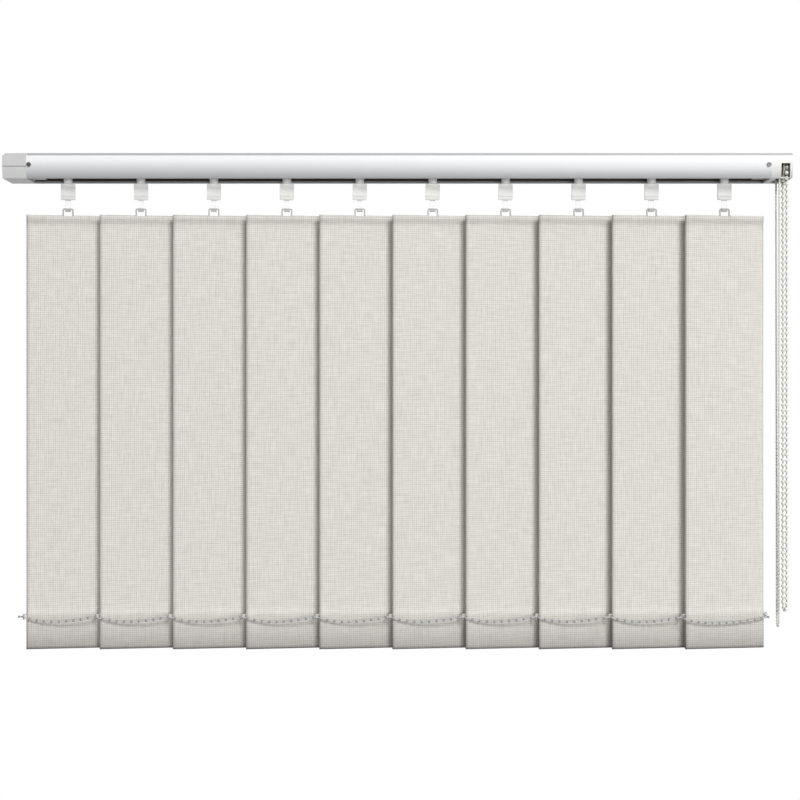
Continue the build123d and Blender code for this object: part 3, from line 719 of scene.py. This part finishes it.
# Control chain: free loop below the wheel, and the few beads on it. Routes are (front to back, height)
chain = {
    "place": 420.9, "bead": 2.25, "pitch": 6.0, "thread": 0.6,
    "free": [(-16.34, -14.6), (-16.34, -484.2), (-16.34, -493.0), (-8.7, -497.4), (-1.06, -493.0),
             (-1.06, -484.2), (-1.06, -14.6)],
    "wheel": [(-1.06, -14.6), (-1.06, -10.2), (-8.7, -5.8), (-16.34, -10.2), (-16.34, -14.6)],
}
chainLine = splinePoints([(chain["place"], *place) for place in chain["free"]])
wheelLine = splinePoints([(chain["place"], *place) for place in chain["wheel"]])
beadValues = {"Radius": chain["bead"] * mm, "Pitch": chain["pitch"] * mm, "Thread": chain["thread"] * mm,
              "Thread Material": materials["bead_thread"]}
freeChain = pathPiece("control_beads", [chainLine], beads, beadValues, "bead_plastic")
wheelChain = pathPiece("control_beads_on_wheel", [wheelLine], beads, beadValues, "bead_plastic")
for piece in (freeChain, wheelChain):
    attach(piece, "rail")
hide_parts("control_chain")
print("control chain", round(routeLength(chainLine), 4))

# Pull cord: free loop below the guide pulleys, and the two runs in the rail
pull = {
    "ply": 0.71,
    "freeTwist": {"Turns Per Metre": 140.0, "Step": 0.9 * mm},
    "railTwist": {"Turns Per Metre": 60.0, "Step": 2.4 * mm},
    "free": [(413.5, -15.2, -14.3), (414.87, -6.42, -502.9), (414.9, -6.2, -515.3), (416.1, 6.2, -515.3),
             (416.13, 6.42, -502.9), (417.5, 15.2, -14.3)],
    "front": [(-362.0, -15.2, -9.3), (403.5, -15.2, -9.3), (413.5, -15.2, -9.3), (413.5, -15.2, -14.3)],
    "rear": [(417.5, 15.2, -14.3), (417.5, 15.2, -9.3), (407.5, 15.2, -9.3), (-399.7, 15.2, -9.3),
             (-417.3, 15.2, -9.3), (-426.1, 0, -9.3), (-417.3, -15.2, -9.3), (-399.7, -15.2, -9.3),
             (-364.0, -15.2, -9.3)],
}
cordLine = splinePoints(pull["free"])
plies = {"Ply Radius": pull["ply"] * mm}
freeCord = pathPiece("pull_cord_loop", [cordLine], twist, {**plies, **pull["freeTwist"]}, "cord_fibre")
railLines = [splinePoints(pull["front"]), splinePoints(pull["rear"])]
railCord = pathPiece("pull_cord_in_rail", railLines, twist, {**plies, **pull["railTwist"]}, "cord_fibre")
for piece in (freeCord, railCord):
    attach(piece, "rail")
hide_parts("pull_cord")
# Two plies, each shifted from the axis, are 3.68 ply radii thick
print("pull cord", round(routeLength(cordLine), 4))

# Spacer chains: small beads between clips on the weights' ears
spacer = {
    "bead": 1.5, "pitch": 8.0, "thread": 0.85, "sag": 5.8, "lean": 0.82, "reach": 47.5, "upper": -503.5,
    "lower": -505.4, "ringInner": 0.9, "ringOuter": 1.9, "ringHeight": 1.6, "sides": 20,
    "arm": 3.5, "tailArm": 6.7, "armWidth": 1.4, "armHeight": 0.6, "armDrop": 0.5, "armGap": 0.05,
    "steps": 20, "looseEnd": 4.0,
}
up = Vector((0, 0, 1))


def sagRoute(start, end):
    # Shallow hang whose lowest point lies a little before the middle
    route = []
    for step in range(spacer["steps"] + 1):
        share = step / spacer["steps"]
        along = share ** spacer["lean"]
        route.append(start.lerp(end, share) - up * 4 * spacer["sag"] * mm * along * (1 - along))
    return route


def ringPiece(number, pins):
    # Clip rings round the pins of a slat's ears, which turn with the slat
    half = spacer["ringHeight"] / 2
    section = [(spacer["ringInner"], -half), (spacer["ringOuter"], -half), (spacer["ringOuter"], half),
               (spacer["ringInner"], half)]
    turns = [2 * math.pi * side / spacer["sides"] for side in range(spacer["sides"])]
    work = bmesh.new()
    for pin in pins:
        rings = [[work.verts.new(pin + Vector((radius * math.cos(turn), radius * math.sin(turn), level)) * mm)
                  for turn in turns] for radius, level in section]
        for low, high in zip(rings, rings[1:] + rings[:1]):
            for side in range(spacer["sides"]):
                work.faces.new((low[side - 1], low[side], high[side], high[side - 1]))
    piece = meshPiece(f"spacer_rings_{number + 1:02d}", [], [], "bead_plastic")
    work.to_mesh(piece.data)
    work.free()
    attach(piece, f"louvre_{number + 1:02d}")


def addArms(piece, pins, outward, arm):
    # Arm from each clip's ring out to the chain
    work = bmesh.new()
    work.from_mesh(piece.data)
    start = spacer["ringOuter"] + spacer["armGap"]
    reach = arm + spacer["armWidth"] / 2
    aside = outward.cross(up)
    size = Matrix.Diagonal((spacer["armWidth"] * mm, (reach - start) * mm, spacer["armHeight"] * mm, 1))
    turned = Matrix((aside, outward, up)).transposed().to_4x4()
    for pin in pins:
        middle = pin + outward * (reach + start) / 2 * mm - up * spacer["armDrop"] * mm
        bmesh.ops.create_cube(work, size=1.0, matrix=Matrix.Translation(middle) @ turned @ size)
    work.to_mesh(piece.data)
    work.free()


def spacerPiece(name, pins, outward, arm, ends):
    # Beads in shallow curves from clip to clip, with any loose ends, and the clips' arms
    clips = [pin + outward * arm * mm for pin in pins]
    route = []
    for start, end in zip(clips, clips[1:]):
        route += sagRoute(start, end)[:-1]
    route.append(clips[-1])
    values = {"Radius": spacer["bead"] * mm, "Pitch": spacer["pitch"] * mm, "Thread": spacer["thread"] * mm,
              "Material": materials["spacer_bead"], "Thread Material": materials["weight_plastic"]}
    piece = pathPiece(name, [route] + ends, beads, values, "bead_plastic")
    addArms(piece, pins, outward, arm)
    return piece


for side, outward in (("front", Vector((0, -1, 0))), ("rear", Vector((0, 1, 0)))):
    pins = [place + acrossSlat * outward.y * spacer["reach"] * mm + up * spacer["upper"] * mm
            for place in stemPlaces]
    first = pins[0] + outward * spacer["arm"] * mm
    looseEnd = [first - Vector((spacer["looseEnd"] * mm, 0, 0)), first]
    piece = spacerPiece(f"{side}_spacer_beads", pins, outward, spacer["arm"], [looseEnd])
    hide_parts(f"{side}_spacer_chain")
    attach(piece, f"{side}_spacer")
    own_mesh(piece)


def earPins(number, level):
    return [stemPlaces[number] + acrossSlat * reach * mm + up * level * mm
            for reach in (-spacer["reach"], spacer["reach"])]


tailPins = earPins(slatCount - 1, spacer["lower"])
tail = spacerPiece("spacer_tail_beads", tailPins, -throughSlat, spacer["tailArm"], [])
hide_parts("spacer_chain_tail")
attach(tail, f"louvre_{slatCount:02d}")
for number in range(slatCount):
    lowerPins = tailPins if number == slatCount - 1 else []
    ringPiece(number, earPins(number, spacer["upper"]) + lowerPins)
print("spacer chains made")

# Stage: pale floor, a world that shows white from every side, a soft key from the upper right, a low fill
# and a lamp behind for the back
stage = {
    "floorLevel": -1.1, "floorReach": 6.0, "floorTone": 0.5, "floorRough": 0.9, "ambient": 0.17,
    "aim": (0, 0, -0.25),
    "lamps": {"key": {"place": (5.0, -9.0, 5.62), "size": 3.25, "power": 795.0},
              "fill": {"place": (2.0, -7.5, -0.37), "size": 2.5, "power": 210.0},
              "rear": {"place": (-4.0, 8.0, 3.5), "size": 3.0, "power": 480.0}},
}


def seenDirectly(tree, link):
    # 1 for rays that show the background: from the camera, off something glossy or through something clear
    path = tree.new("ShaderNodeLightPath")
    mask = path.outputs["Is Camera Ray"]
    for label in ("Is Glossy Ray", "Is Transmission Ray"):
        most = tree.new("ShaderNodeMath")
        most.operation = "MAXIMUM"
        link(mask, most.inputs[0])
        link(path.outputs[label], most.inputs[1])
        mask = most.outputs[0]
    return mask


pale, paleNodes, paleLink, paleShader = newMaterial("paleStage")
paleShader.inputs["Base Color"].default_value = (*[stage["floorTone"]] * 3, 1)
paleShader.inputs["Roughness"].default_value = stage["floorRough"]
glow = paleNodes.new("ShaderNodeEmission")
mixed = paleNodes.new("ShaderNodeMixShader")
paleLink(seenDirectly(paleNodes, paleLink), mixed.inputs["Fac"])
paleLink(paleShader.outputs["BSDF"], mixed.inputs[1])
paleLink(glow.outputs["Emission"], mixed.inputs[2])
paleLink(mixed.outputs["Shader"], paleNodes["Material Output"].inputs["Surface"])
corners = [(x * stage["floorReach"], y * stage["floorReach"], stage["floorLevel"])
           for x, y in ((-1, -1), (1, -1), (1, 1), (-1, 1))]
floorMesh = bpy.data.meshes.new("floor")
floorMesh.from_pydata(corners, [], [(0, 1, 2, 3)])
floorMesh.materials.append(pale)
floor = bpy.data.objects.new("floor", floorMesh)
bpy.context.scene.collection.objects.link(floor)

world = bpy.data.worlds.new("studio")
bpy.context.scene.world = world
world.use_nodes = True
sky, skyLink = world.node_tree.nodes, world.node_tree.links.new
sky["Background"].inputs["Color"].default_value = (1, 1, 1, 1)
strength = sky.new("ShaderNodeMapRange")
strength.inputs["To Min"].default_value = stage["ambient"]
skyLink(seenDirectly(sky, skyLink), strength.inputs["Value"])
skyLink(strength.outputs["Result"], sky["Background"].inputs["Strength"])
for name, look in stage["lamps"].items():
    lamp = bpy.data.lights.new(name, "AREA")
    lamp.size = look["size"]
    lamp.energy = look["power"]
    holder = bpy.data.objects.new(name, lamp)
    holder.location = look["place"]
    toward = Vector(stage["aim"]) - Vector(look["place"])
    holder.rotation_euler = toward.to_track_quat("-Z", "Y").to_euler()
    bpy.context.scene.collection.objects.link(holder)

# Camera: its distance from the rail and the width that it sees there, in millimetres, and its place in metres
camera = {"sensor": 36.0, "distance": 1600.0, "width": 877.6, "place": (0.0011, -1.6, -0.2674)}
view = bpy.data.cameras.new("photoView")
view.sensor_width = camera["sensor"]
view.lens = camera["sensor"] * camera["distance"] / camera["width"]
cameraHolder = bpy.data.objects.new("photoView", view)
cameraHolder.location = camera["place"]
cameraHolder.rotation_euler = (math.pi / 2, 0, 0)
bpy.context.scene.collection.objects.link(cameraHolder)
bpy.context.scene.camera = cameraHolder
print("stage set")
